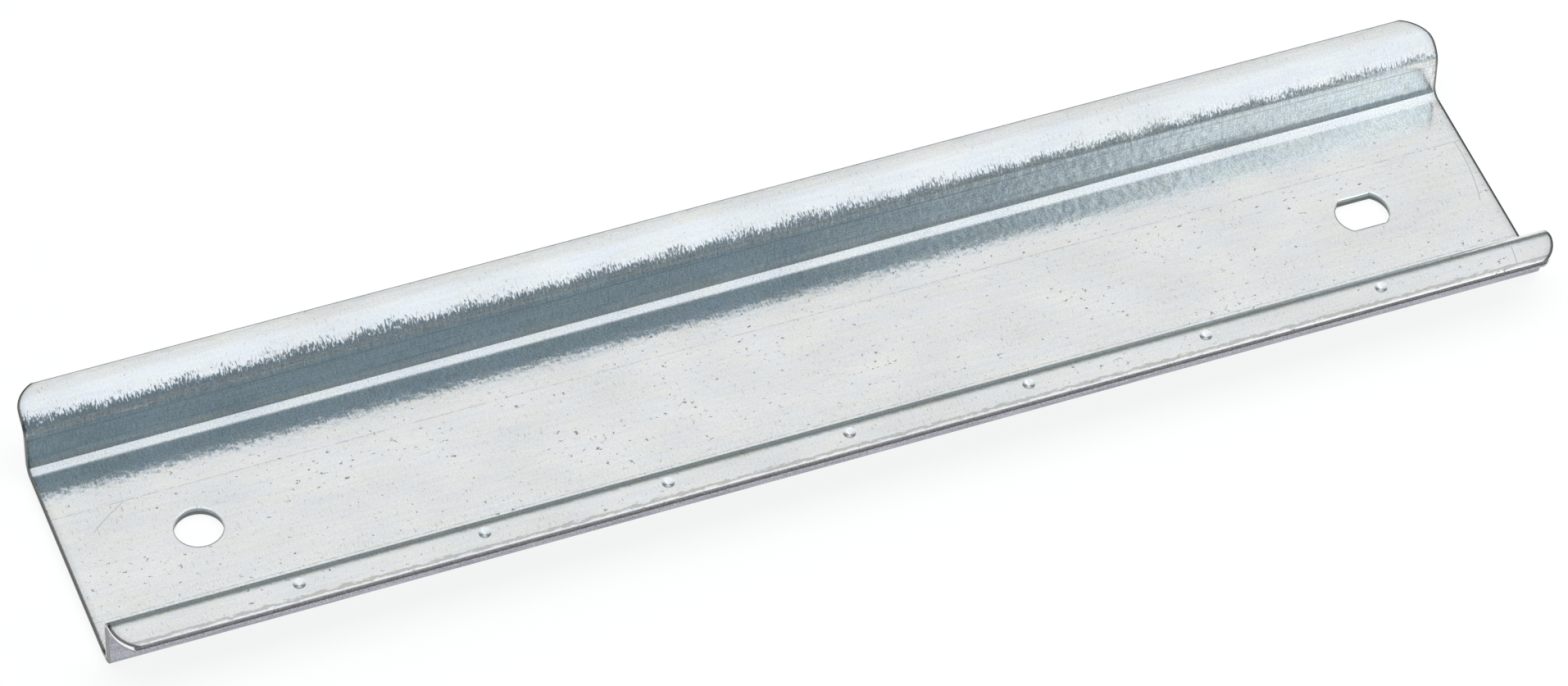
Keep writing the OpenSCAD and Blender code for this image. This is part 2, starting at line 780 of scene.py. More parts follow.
@dataclass(frozen=True)
class MarkRow:
    """Row of conical punch marks on a flange, from the left end on."""

    first: float
    across: float
    pitch: float = 18.5 * MM
    count: int = 7
    radius: float = 0.65 * MM
    depth: float = 0.3 * MM
    clear: float = 1.2 * MM

    def openings(self) -> list[Opening]:
        """List the marks.

        Returns:
            One opening for each mark.
        """
        outline = round_outline(self.radius)
        places = [self.first + k * self.pitch for k in range(self.count)]
        return [Opening(place, self.across, self.clear, outline, through=False)
                for place in places]


class RollFormer:
    """Geometry Nodes tree that folds the blank to the section and punches the marks."""

    SIZES = ("Web Half", "Foot Mid Radius", "Wall Run", "Top Mid Radius", "Half Sheet",
             "Mark Pitch", "First Mark", "Mark Across", "Mark Radius", "Mark Depth")

    def __init__(self, section: TopHatSection, marks: MarkRow) -> None:
        """Build the tree and its inputs.

        Args:
            section: the section to fold to.
            marks: the row of marks to punch.
        """
        self.section = section
        self.marks = marks
        self.tree = bpy.data.node_groups.new("roll_former", "GeometryNodeTree")
        self.tree.is_modifier = True
        self.identifiers: dict[str, str] = {}
        self._interface()
        self._build()

    def _interface(self) -> None:
        """Name the tree's inputs and its output."""
        face = self.tree.interface
        face.new_socket("Geometry", in_out="INPUT", socket_type="NodeSocketGeometry")
        for name in self.SIZES:
            socket = face.new_socket(name, in_out="INPUT", socket_type="NodeSocketFloat")
            self.identifiers[name] = socket.identifier
        for name in ("Zinc", "Steel"):
            socket = face.new_socket(name, in_out="INPUT", socket_type="NodeSocketMaterial")
            self.identifiers[name] = socket.identifier
        face.new_socket("Geometry", in_out="OUTPUT", socket_type="NodeSocketGeometry")

    def _build(self) -> None:
        """Fill the tree."""
        bench = Bench(self.tree)
        source = bench.node("NodeGroupInput")
        size = {name: Signal(bench, source.outputs[name]) for name in self.SIZES}
        place = bench.node("GeometryNodeInputPosition").outputs[0]
        folded = self._fold(bench, size, *bench.split(place))
        settings = {"data_type": "FLOAT_VECTOR", "domain": "POINT"}
        links = {"Geometry": source.outputs["Geometry"], "Name": "strip", "Value": place}
        stored = bench.node("GeometryNodeStoreNamedAttribute", settings, links)
        links = {"Geometry": stored.outputs[0], "Position": folded}
        moved = bench.node("GeometryNodeSetPosition", None, links)
        real = bench.node("GeometryNodeRealizeInstances", None, {"Geometry": moved.outputs[0]})
        settings = {"data_type": "INT"}
        cut = bench.node("GeometryNodeInputNamedAttribute", settings, {"Name": "sheared"})
        links = {"Geometry": real.outputs[0], "Material": source.outputs["Zinc"]}
        coated = bench.node("GeometryNodeSetMaterial", None, links)
        links = {"Geometry": coated.outputs[0], "Selection": cut.outputs[0],
                 "Material": source.outputs["Steel"]}
        done = bench.node("GeometryNodeSetMaterial", None, links)
        bench.node("NodeGroupOutput", None, {0: done.outputs[0]})

    def _fold(self, bench: Bench, size: dict[str, Signal], along: Signal, across: Signal,
              through: Signal) -> bpy.types.NodeSocket:
        """Work out where a point of the blank goes.

        Args:
            bench: the tree's builder.
            size: the tree's inputs.
            along: place along the rail.
            across: place across the strip.
            through: place through the thickness.

        Returns:
            The folded place's vector socket.
        """
        web, foot_mid, wall, top_mid = (size[name] for name in self.SIZES[:4])
        away = across.size()
        foot_run = foot_mid * QUARTER
        top_run = top_mid * QUARTER
        after_web = (away - web).high(0.0)
        after_foot = (after_web - foot_run).high(0.0)
        after_wall = (after_foot - wall).high(0.0)
        flange = (after_wall - top_run).high(0.0)
        foot_turn = after_web.low(foot_run) / foot_mid
        top_turn = after_wall.low(top_run) / top_mid
        heading = foot_turn - top_turn
        reach = away.low(web) + foot_turn.math("SINE") * foot_mid
        reach = reach + (1 - top_turn.math("COSINE")) * top_mid + flange
        rise = size["Half Sheet"] + (1 - foot_turn.math("COSINE")) * foot_mid
        rise = rise + after_foot.low(wall) + top_turn.math("SINE") * top_mid
        level = rise + through * heading.math("COSINE") - self._dent(size, along, across, through)
        side = across.side() * (reach - through * heading.math("SINE"))
        return bench.node("ShaderNodeCombineXYZ", None, {0: along, 1: side, 2: level}).outputs[0]

    def _dent(self, size: dict[str, Signal], along: Signal, across: Signal,
              through: Signal) -> Signal:
        """Work out how far the nearest punch mark sinks a point of the top face.

        Args:
            size: the tree's inputs.
            along: place along the rail.
            across: place across the strip.
            through: place through the thickness.

        Returns:
            The depth by which the point sinks.
        """
        turn = ((along - size["First Mark"]) / size["Mark Pitch"]).math("ROUND")
        turn = turn.kept(0.0, float(self.marks.count - 1))
        off_x = along - size["First Mark"] - turn * size["Mark Pitch"]
        off_y = across - size["Mark Across"]
        gap = (off_x * off_x + off_y * off_y).math("SQRT")
        cone = (1 - gap / size["Mark Radius"]).high(0.0)
        return cone * size["Mark Depth"] * through.over(0.0)

    def form(self, mesh: bpy.types.Mesh, zinc: bpy.types.Material, steel: bpy.types.Material,
             name: str) -> bpy.types.Object:
        """Fold a blank.

        Args:
            mesh: the flat blank.
            zinc: material of the coated faces.
            steel: material of the cut faces.
            name: name of the finished piece.

        Returns:
            The folded rail as a plain mesh object.
        """
        carrier = add_object("blank", mesh)
        modifier = carrier.modifiers.new("roll_former", "NODES")
        modifier.node_group = self.tree
        section, marks = self.section, self.marks
        web, _, wall, _, _ = section.runs
        values = (web, section.foot_mid, wall, section.top_mid, section.sheet / 2, marks.pitch,
                  marks.first, marks.across, marks.radius, marks.depth)
        for key, value in zip(self.SIZES, values):
            modifier[self.identifiers[key]] = value
        modifier[self.identifiers["Zinc"]] = zinc
        modifier[self.identifiers["Steel"]] = steel
        graph = bpy.context.evaluated_depsgraph_get()
        formed = bpy.data.meshes.new_from_object(carrier.evaluated_get(graph))
        formed.name = name
        bpy.data.objects.remove(carrier)
        return add_object(name, formed)


def crease_sharp_edges(mesh: bpy.types.Mesh, limit: float) -> None:
    """Keep the shading sharp across edges that turn by more than the limit.

    Args:
        mesh: the mesh to mark.
        limit: angle in degrees.
    """
    bm = bmesh.new()
    bm.from_mesh(mesh)
    for edge in bm.edges:
        if len(edge.link_faces) == 2:
            edge.smooth = edge.calc_face_angle() < math.radians(limit)
    bm.to_mesh(mesh)
    bm.free()


# ---------------------------------------------------------------- finishes


@dataclass(frozen=True)
class Grain:
    """Grain of a noise pattern: its size along each axis and the finer octaves in it.

    Two sizes give a pattern on the flat strip, three one that also runs through it.
    """

    sizes: tuple[float, ...]
    detail: float = 1.0
    rough: float = 0.5


@dataclass(frozen=True)
class StripPlace:
    """Place of a shaded point on the flat strip, with its distance from the strip's middle."""

    bench: Bench
    vector: bpy.types.NodeSocket
    along: Signal
    across: Signal
    through: Signal
    away: Signal

    @classmethod
    def read(cls, bench: Bench) -> "StripPlace":
        """Read the place from the attribute strip.

        Args:
            bench: builder of a material's tree.

        Returns:
            The place.
        """
        vector = bench.node("ShaderNodeAttribute", {"attribute_name": "strip"}).outputs["Vector"]
        along, across, through = bench.split(vector)
        return cls(bench, vector, along, across, through, across.size())

    def noise(self, grain: Grain) -> Signal:
        """Read a noise pattern.

        Args:
            grain: the pattern's grain.

        Returns:
            The noise, about 0.5 on average.
        """
        factors = tuple(1.0 / size for size in grain.sizes) + (0.0,) * (3 - len(grain.sizes))
        links = {"Vector": self.bench.vector("MULTIPLY", self.vector, factors), "Scale": 1.0,
                 "Detail": grain.detail, "Roughness": grain.rough}
        settings = {"noise_dimensions": "%dD" % len(grain.sizes)}
        return self.bench.signal("ShaderNodeTexNoise", settings, links)

    def ripple(self, grain: Grain) -> Signal:
        """Read a noise pattern that is about 0 on average."""
        return self.noise(grain) - 0.5


@dataclass(frozen=True)
class Scratch:
    """Hairline scratch on the strip: a short arc, on the far side of its circle along the rail.

    A radius below 0 puts it on the near side.
    """

    along: float
    across: float
    radius: float
    low: float
    high: float
    half_width: float = 0.07 * MM

    def mask(self, spot: StripPlace) -> Signal:
        """Give 1 on the scratch.

        Args:
            spot: the place on the strip.

        Returns:
            The mask.
        """
        off_x, off_y = spot.along - self.along, spot.across - self.across
        gap = ((off_x * off_x + off_y * off_y).math("SQRT") - abs(self.radius)).size()
        side = (off_x * math.copysign(1.0, self.radius)).over(0.0)
        kept = spot.across.over(self.low) * (1 - spot.across.over(self.high))
        return gap.step(self.half_width, 0.03 * MM) * side * kept


@dataclass(frozen=True)
class RollLine:
    """Line along the rail where the edge of a roll ran."""

    across: float
    half_width: float
    strength: float

    def mask(self, spot: StripPlace) -> Signal:
        """Give the line's strength on it, fading to 0 at half its width on both sides."""
        gap = (spot.across - self.across).size()
        return gap.step(self.half_width, 0.3 * self.half_width) * self.strength


@dataclass(frozen=True)
class CoatPatterns:
    """Patterns of the zinc coat that its colour, gloss and relief share."""

    brush: Signal
    speck: Signal
    drawn: Signal
    swarm: Signal
    formed: Signal
    pits: Signal
    shoulder: Signal
    combed: Signal
    facet: Signal
    slope: Signal


@dataclass(frozen=True)
class ZincCoat:
    """Zinc coat of rolled strip, dulled by a clear passivation, with what the rolls did to it."""

    section: TopHatSection

    # colours of the coat and of what lies on it
    warm: tuple = (0.835, 0.85, 0.825)
    cool: tuple = (0.80, 0.835, 0.86)
    pit: tuple = (0.20, 0.21, 0.18)
    tick: tuple = (0.36, 0.38, 0.35)
    # grey of the roll lines and of the ragged darker band just inside the slit edges
    dull_grey: tuple = (0.46, 0.46, 0.43)
    # the outer walls' darker bluish colour is painted shade, for the shaded floor that they mirror
    outer_wall_shade: tuple = (0.42, 0.43, 0.48)
    # the dark line on the roll-over of the cut ends is painted shade, for the dim sky that it
    # mirrors
    end_rollover_shade: tuple = (0.09, 0.10, 0.09)

    # grains of the patterns, along and across the strip
    brush_grain: Grain = Grain((0.15 * MM, 1.3 * MM), 2.0, 0.6)
    speck_grain: Grain = Grain((0.2 * MM, 0.17 * MM))
    drawn_grain: Grain = Grain((14 * MM, 0.12 * MM))
    swarm_grain: Grain = Grain((8 * MM, 6 * MM), 0.0)
    streak_grain: Grain = Grain((5 * MM, 0.4 * MM))
    cloud_grain: Grain = Grain((6 * MM, 1.8 * MM), 2.0, 0.6)
    mottle_grain: Grain = Grain((0.6 * MM, 0.45 * MM), 2.0)
    relief_grain: Grain = Grain((0.9 * MM, 0.8 * MM))
    clump_grain: Grain = Grain((2.5 * MM, 1.5 * MM), 0.0)
    comb_grain: Grain = Grain((0.2 * MM, 0.42 * MM), 3.0, 0.65)
    pit_grain: Grain = Grain((0.8 * MM, 0.65 * MM), 3.0, 0.75)
    tick_grain: Grain = Grain((0.2 * MM, 1.0 * MM), 2.0, 0.7)
    line_grain: Grain = Grain((0.9 * MM, 0.3 * MM), 2.0, 0.7)
    edge_grain: Grain = Grain((1.3 * MM, 0.5 * MM), 3.0, 0.65)

    # where the patterns turn into marks
    cloud_span: tuple = (-0.28, 0.28)
    comb_span: tuple = (-0.14, 0.16)
    pit_span: tuple = (0.675, 0.735)
    tick_span: tuple = (0.685, 0.75)
    break_span: tuple = (0.4, 0.6)

    # contrast of the patterns in the colour; the second number of a pair is added where formed,
    # and the four are those of speck, brush, swarm and streak on the outer walls, whose darker
    # bluish tint is painted shade
    speck_contrast: tuple = (0.24, 0.45)
    brush_contrast: tuple = (0.1, 0.6)
    drawn_contrast: float = 0.5
    streak_contrast: float = 0.1
    outer_wall_contrast: tuple = (0.8, 0.3, 0.3, 0.6)
    combed_dulling: float = 0.3
    pit_strength: float = 0.8
    tick_strength: float = 0.55
    scratch_strength: float = 0.6

    # gloss and relief
    roughness: float = 0.15
    formed_roughness: float = 0.05
    scuffed_roughness: float = 0.12
    speck_roughness: float = 0.1
    pit_roughness: float = 0.3
    relief_depth: float = 0.035 * MM
    relief_strength: float = 0.5
    speck_relief: float = 0.15
    facet_polish: float = 0.85
    brush_tilt: tuple = (0.09, 0.05)
    drawn_tilt: float = 0.09

    # scuffed shoulder and crease: directions of their surfaces, in radians of the bend's turn,
    # and the part of the foot bend over which the facet gives way to the corner
    comb_drift: float = 2.2
    bright_lean: float = 0.26
    dark_lean: float = 0.785
    facet_lean: float = 0.38
    facet_end: tuple = (0.53, 0.61)

    scratches: tuple = (
        Scratch(47.3 * MM, 4.0 * MM, 25.8 * MM, -2.6 * MM, 5.6 * MM),
        Scratch(-50.9 * MM, -20.1 * MM, -30.0 * MM, 2.7 * MM, 5.5 * MM),
        Scratch(20.2 * MM, -12.5 * MM, 50.0 * MM, -22.0 * MM, -19.8 * MM),
    )
    web_lines: tuple = (RollLine(5.6 * MM, 0.1 * MM, 0.55), RollLine(-8.1 * MM, 0.1 * MM, 0.6))

    def material(self) -> bpy.types.Material:
        """Build the material.

        Returns:
            The finished material, which reads the attributes strip and end_gap.
        """
        made, bench = new_material("zinc_coat")
        spot = StripPlace.read(bench)
        coat = self._patterns(spot)
        bench.metal(self._colour(spot, coat), self._rough(spot, coat), self._normal(spot, coat))
        return made

    def _patterns(self, spot: StripPlace) -> CoatPatterns:
        """Lay out the patterns that several inputs of the shader share.

        Args:
            spot: the place on the strip.

        Returns:
            The patterns.
        """
        shoulder, combed, scuffed = self._shoulder(spot)
        facet, creased = self._crease(spot.away)
        swarm = spot.ripple(self.swarm_grain)
        return CoatPatterns(
            brush=spot.ripple(self.brush_grain),
            speck=spot.ripple(self.speck_grain),
            drawn=spot.ripple(self.drawn_grain) * self._drawn(spot.away),
            swarm=swarm,
            formed=self._formed(spot.away),
            pits=self._pits(spot, swarm),
            shoulder=shoulder,
            combed=combed,
            facet=facet,
            slope=scuffed + spot.across.side() * creased,
        )

    def _colour(self, spot: StripPlace, coat: CoatPatterns) -> bpy.types.NodeSocket:
        """Colour the coat and lay the marks on it, the lowest first.

        Args:
            spot: the place on the strip.
            coat: the shared patterns.

        Returns:
            The colour's socket.
        """
        bench = spot.bench
        streak = spot.ripple(self.streak_grain)
        plain, added = self.speck_contrast
        tone = 1 + coat.speck * (plain + coat.formed * added)
        tone = tone + (streak + coat.swarm) * self.streak_contrast
        plain, added = self.brush_contrast
        strokes = coat.drawn * self.drawn_contrast + coat.brush * (plain + coat.formed * added)
        tone = tone + strokes * (1 - coat.facet)
        tone = tone * (1 - coat.shoulder * coat.combed * self.combed_dulling)
        colour = bench.shaded(bench.mix(self._cloud(spot), self.warm, self.cool), tone)
        # the outer faces of the walls take a darker bluish colour: painted shade for the shaded
        # floor they mirror
        outside = 1 + coat.speck * self.outer_wall_contrast[0]
        for pattern, contrast in zip((coat.brush, coat.swarm, streak), self.outer_wall_contrast[1:]):
            outside = outside + pattern * contrast
        colour = bench.mix(self._outside(spot), colour, bench.shaded(self.outer_wall_shade, outside))
        layers = [(self._ticks(spot, coat.swarm), self.tick), (coat.pits, self.pit),
                  (self._roll_lines(spot), self.dull_grey), (self._edge_band(spot), self.dull_grey)]
        for scratch in self.scratches:
            layers.append((scratch.mask(spot) * self.scratch_strength, self.tick))
        # the end roll-over's dark line is painted shade
        layers.append((self._end_rollover_shade(spot, coat.speck), self.end_rollover_shade))
        for mask, paint in layers:
            colour = bench.mix(mask, colour, paint)
        return colour

    def _rough(self, spot: StripPlace, coat: CoatPatterns) -> Signal:
        """Give the roughness: duller where formed, scuffed or pitted.

        Args:
            spot: the place on the strip.
            coat: the shared patterns.

        Returns:
            The roughness.
        """
        web = self.section.ends[0]
        rough = self.roughness + spot.away.step(web - 2 * MM, web) * self.formed_roughness
        rough = rough + coat.speck * self.speck_roughness + coat.pits * self.pit_roughness
        return rough + (coat.shoulder + coat.facet) * self.scuffed_roughness

    def _normal(self, spot: StripPlace, coat: CoatPatterns) -> bpy.types.NodeSocket:
        """Raise the coat's relief and tilt it across the rail where the rolls left strokes.

        Args:
            spot: the place on the strip.
            coat: the shared patterns.

        Returns:
            The normal's socket.
        """
        bench = spot.bench
        clean = 1 - coat.facet * self.facet_polish
        height = (spot.noise(self.relief_grain) + coat.speck * self.speck_relief) * clean
        normal = bench.bump(height, self.relief_depth, self.relief_strength)
        plain, added = self.brush_tilt
        tilt = coat.brush * (plain + coat.formed * added) * clean
        tilt = tilt + coat.drawn * self.drawn_tilt + coat.slope
        across = bench.vector("CROSS_PRODUCT", normal, (1.0, 0.0, 0.0))
        return bench.vector("NORMALIZE", bench.vector("ADD", normal, bench.shaded(across, tilt)))

    def _cloud(self, spot: StripPlace) -> Signal:
        """Blend drawn-out clouds with a fine mottle, for the two tones of the coat."""
        blend = spot.ripple(self.cloud_grain) + spot.ripple(self.mottle_grain)
        return blend.step(*self.cloud_span)

    def _formed(self, away: Signal) -> Signal:
        """Mask the bends and the walls, where the rolls worked the coat.

        Args:
            away: distance from the middle of the strip.

        Returns:
            The mask.
        """
        web, _, wall_end, top_end = self.section.ends
        top = top_end - wall_end
        lower = away.step(web - 5.5 * MM, web)
        return lower * away.step(wall_end + 0.7 * top, wall_end + 0.3 * top)

    def _drawn(self, away: Signal) -> Signal:
        """Mask what carries the lines drawn along by the rolls: the foot bends and the walls.

        Args:
            away: distance from the middle of the strip.

        Returns:
            The mask.
        """
        web, _, wall_end, top_end = self.section.ends
        upper = away.step(wall_end + 0.5 * (top_end - wall_end), wall_end)
        return away.step(web - 0.3 * MM, web + 0.1 * MM) * upper

    def _shoulder(self, spot: StripPlace) -> tuple[Signal, Signal, Signal]:
        """Comb the coat over the far top bend, where it was stretched and scuffed.

        Args:
            spot: the place on the strip.

        Returns:
            The mask of the scuffed shoulder, the strokes that lean down, and the slope of both.
        """
        _, _, wall_end, top_end = self.section.ends
        turn = (spot.away * -1.0 + top_end) * (QUARTER / (top_end - wall_end))
        shoulder = turn.step(-1.0, 0.1) * turn.step(1.56, 0.95) * spot.across.over(0.0)
        ramp = (turn - spot.along * self.comb_drift).step(0.15, 1.5) - 0.5
        ramp = ramp + spot.ripple(self.clump_grain) * 0.4
        combed = (spot.ripple(self.comb_grain) + ramp * 0.6).step(*self.comb_span)
        bright = turn.high(0.0) - self.bright_lean
        dark = (turn - self.dark_lean).low(0.0)
        return shoulder, combed, shoulder * (bright + (dark - bright) * combed)

    def _crease(self, away: Signal) -> tuple[Signal, Signal]:
        """Shape the foot bend, which the rolls left as a bright facet and a sharp corner.

        Args:
            away: distance from the middle of the strip.

        Returns:
            The mask of the facet, and the slope of facet and corner against a true bend.
        """
        web, foot_end, _, _ = self.section.ends
        foot = foot_end - web
        turn = (away - web).kept(0.0, foot) * (QUARTER / foot)
        corner = away.step(*(web + share * foot for share in self.facet_end))
        facet = away.step(web - 0.5 * MM, web + 0.3 * MM) * (1 - corner)
        return facet, facet * (turn - self.facet_lean) + corner * (turn - QUARTER)

    def _outside(self, spot: StripPlace) -> Signal:
        """Mask the outer faces of the walls, where their darker bluish tint is painted shade.

        Args:
            spot: the place on the strip.

        Returns:
            The mask.
        """
        web, foot_end, wall_end, top_end = self.section.ends
        top = top_end - wall_end
        band = spot.away.step(web, web + 0.6 * (foot_end - web))
        band = band * spot.away.step(wall_end + 0.9 * top, wall_end + 0.2 * top)
        return band * (1 - spot.through.over(0.0))

    def _pits(self, spot: StripPlace, swarm: Signal) -> Signal:
        """Scatter the small pits of the coat, in swarms, on the web and the marked flange.

        Args:
            spot: the place on the strip.
            swarm: broad pattern that gathers them.

        Returns:
            The mask.
        """
        web, edge = self.section.ends[0], self.section.strip_half
        flange = spot.across.step(4 * MM - edge, 3 * MM - edge)
        fewer = spot.away.step(web - 3 * MM, web) * (0.09 - flange * 0.07)
        swarms = spot.noise(self.pit_grain) + swarm * 0.14 - fewer
        return swarms.step(*self.pit_span) * self.pit_strength

    def _ticks(self, spot: StripPlace, swarm: Signal) -> Signal:
        """Scatter short ragged ticks across the strip, between the swarms of pits."""
        ticks = spot.noise(self.tick_grain) - swarm * 0.12
        return ticks.step(*self.tick_span) * self.tick_strength

    def _roll_lines(self, spot: StripPlace) -> Signal:
        """Draw the broken lines where the edges of the rolls ran.

        Args:
            spot: the place on the strip.

        Returns:
            The mask.
        """
        _, foot_end, wall_end, _ = self.section.ends
        broken = spot.noise(self.line_grain).step(*self.break_span)
        first, second = (line.mask(spot) for line in self.web_lines)
        upper = RollLine(wall_end - 0.15 * MM, 0.1 * MM, 0.8).mask(spot)
        lower = RollLine(foot_end + 0.6 * MM, 0.08 * MM, 0.5).mask(spot)
        faint = first.high(second) * (broken * 0.8 + 0.2)
        return faint.high(upper.high(lower) * (broken * 0.4 + 0.6))

    def _edge_band(self, spot: StripPlace) -> Signal:
        """Draw the ragged dull band just inside the slit edges, stronger on the marked flange.

        Args:
            spot: the place on the strip.

        Returns:
            The mask.
        """
        gap = spot.away * -1.0 + self.section.strip_half
        gap = gap - spot.ripple(self.edge_grain) * (0.9 * MM)
        band = (gap - 0.45 * MM).size().step(0.26 * MM, 0.1 * MM)
        return band * (0.7 - spot.across.over(0.0) * 0.5)

    @staticmethod
    def _end_rollover_shade(spot: StripPlace, speck: Signal) -> Signal:
        """Mask the roll-over of the cut ends with a dark line of painted shade, and a faint painted
        shade up to a millimetre in.

        Args:
            spot: the place on the strip.
            speck: fine pattern that frays the line.

        Returns:
            The mask.
        """
        gap = spot.bench.attribute("end_gap")
        line = (gap + speck * (0.06 * MM)).step(0.4 * MM, 0.18 * MM) * 0.9
        return line.high(gap.step(1.0 * MM, 0.3 * MM) * 0.15) * spot.through.over(0.0)


@dataclass(frozen=True)
class ShearedSteel:
    """Bare steel of a cut edge: bright burnished land above, torn and dull land below."""

    section: TopHatSection
    land: tuple = (0.50, 0.50, 0.52)
    torn: tuple = (0.30, 0.28, 0.28)
    hole_land: tuple = (0.30, 0.35, 0.35)
    hole_torn: tuple = (0.16, 0.18, 0.18)
    slit: tuple = (0.21, 0.19, 0.19)
    slit_torn: tuple = (0.10, 0.085, 0.085)
    slit_foot: tuple = (0.45, 0.46, 0.52)
    # the near-black of the web's cut ends is painted shade, for the shaded floor close by
    web_end_shade: tuple = (0.05, 0.045, 0.04)
    # the near-white upper part of the corner arcs: partly burnish, partly a painted highlight
    burnish_and_highlight: tuple = (0.93, 0.93, 0.95)
    wander_grain: Grain = Grain((1.2 * MM, 1.2 * MM, 4 * MM), 3.0, 0.65)
    fine_grain: Grain = Grain((0.1 * MM, 0.1 * MM, 0.25 * MM), 2.0, 0.6)
    roughness: float = 0.3
    torn_roughness: float = 0.2
    relief_depth: float = 0.03 * MM
    relief_strength: float = 0.6
    slit_contrast: float = 2.4
    web_end_shade_strength: float = 0.95

    # where the land gives way, as shares of the thickness, and how far the limits wander
    tear_span: tuple = (0.34, 0.46)
    foot_span: tuple = (0.58, 0.72)
    burnish_and_highlight_span: tuple = (0.72, 0.6)
    wander: float = 0.4
    fray: float = 0.2

    def material(self) -> bpy.types.Material:
        """Build the material.

        Returns:
            The finished material, which reads the attributes strip and shear_depth.
        """
        made, bench = new_material("sheared_steel")
        spot = StripPlace.read(bench)
        depth = bench.attribute("shear_depth")
        fine = spot.ripple(self.fine_grain)
        tearing = (depth + spot.ripple(self.wander_grain) * self.wander).step(*self.tear_span)
        colour = bench.mix(tearing * (0.8 + fine * 0.8), self.land, self.torn)
        hole = bench.mix(tearing, self.hole_land, self.hole_torn)
        colour = bench.mix(self._punched(spot), colour, hole)
        # the corner arcs take a near-white colour, partly burnish and partly a painted highlight
        colour = bench.mix(self._arc(spot, depth, fine), colour, self.burnish_and_highlight)
        cut = bench.mix(tearing * (0.7 + fine), self.slit, self.slit_torn)
        cut = bench.mix((depth + fine * self.fray).step(*self.foot_span), cut, self.slit_foot)
        slit = spot.away.over(self.section.strip_half - 0.15 * MM)
        colour = bench.mix(slit, colour, bench.shaded(cut, 1 + fine * self.slit_contrast))
        # painted shade darkens the web's cut ends
        colour = bench.mix(self._web_end_shade(spot) * self.web_end_shade_strength, colour, self.web_end_shade)
        rough = self.roughness + tearing * self.torn_roughness + fine * 0.3
        height = (fine + 0.5) * (0.3 + tearing)
        bench.metal(colour, rough, bench.bump(height, self.relief_depth, self.relief_strength))
        return made

    def _punched(self, spot: StripPlace) -> Signal:
        """Mask the walls of the fixing holes."""
        end = self.section.length / 2
        return spot.away.step(5 * MM, 4 * MM) * spot.along.size().step(end - 2 * MM, end - 3 * MM)

    def _arc(self, spot: StripPlace, depth: Signal, fine: Signal) -> Signal:
        """Mask the upper part of the corner arcs, which the shear burnished; their near-white
        colour is partly that burnish and partly a painted highlight.

        Args:
            spot: the place on the strip.
            depth: share of the thickness below the top face.
            fine: fine pattern of the torn steel.

        Returns:
            The mask.
        """
        _, _, wall_end, top_end = self.section.ends
        top = top_end - wall_end
        reached = spot.away.step(wall_end + 0.55 * top, wall_end + 0.95 * top)
        return reached * (depth + fine * self.fray).step(*self.burnish_and_highlight_span)

    def _web_end_shade(self, spot: StripPlace) -> Signal:
        """Mask the cut faces at the ends of the web, where their near-black colour is painted
        shade.

        Args:
            spot: the place on the strip.

        Returns:
            The mask.
        """
        web, foot_end, _, _ = self.section.ends
        near_web = spot.away.step(foot_end + 0.4 * MM, web - 0.4 * MM)
        at_end = spot.along.size().over(self.section.length / 2 - 1 * MM)
        return near_web * spot.away.over(8 * MM).high(at_end)


# ---------------------------------------------------------------- rail


@dataclass
class Rail:
    """The mounting rail: section, blank, forming and finish.

    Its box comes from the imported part, its corners, holes and marks from the part's source.
    """

    plain_corner: CornerShear = CornerShear(2.2 * MM)
    marked_corner: CornerShear = CornerShear(1.75 * MM)
    round_radius: float = 2.4 * MM
    round_inset: float = 13.3 * MM
    oblong_radius: float = 2.7 * MM
    oblong_flat: float = 2.1 * MM
    oblong_inset: float = 13.4 * MM
    mark_first: float = 18.5 * MM
    mark_inset: float = 2.2 * MM

    # half the side of a hole's patch, and the turn in degrees from which an edge stays sharp
    hole_clear: float = 3.9 * MM
    sharp_angle: float = 30.0

    def __post_init__(self) -> None:
        """Take the rail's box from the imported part, and set out its section and marks."""
        low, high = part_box("rail")
        self.low, self.high = Vector(low), Vector(high)
        size = self.high - self.low
        self.section = TopHatSection(size.x, size.y, size.z)
        self.marks = MarkRow(self.low.x + self.mark_first,
                             self.mark_inset - self.section.strip_half)

    def openings(self) -> list[Opening]:
        """List the two fixing holes and the punch marks.

        Returns:
            The openings, holes first.
        """
        turn = math.asin(self.oblong_flat / self.oblong_radius)
        corners = (turn, math.pi - turn, -turn, turn - math.pi)
        oblong = flatted_outline(self.oblong_radius, self.oblong_flat)
        left, right = self.low.x + self.round_inset, self.high.x - self.oblong_inset
        holes = [Opening(left, 0.0, self.hole_clear, round_outline(self.round_radius)),
                 Opening(right, 0.0, self.hole_clear, oblong, corners)]
        return holes + self.marks.openings()

    def build(self) -> bpy.types.Object:
        """Make the rail.

        Returns:
            The finished piece.
        """
        corners = (self.plain_corner, self.marked_corner)
        blank = Blank(self.section, *corners, self.openings()).build()
        former = RollFormer(self.section, self.marks)
        zinc, steel = ZincCoat(self.section).material(), ShearedSteel(self.section).material()
        piece = former.form(blank, zinc, steel, "formed_rail")
        crease_sharp_edges(piece.data, self.sharp_angle)
        log.info("formed_rail: %d faces", len(piece.data.polygons))
        return piece


# ---------------------------------------------------------------- studio


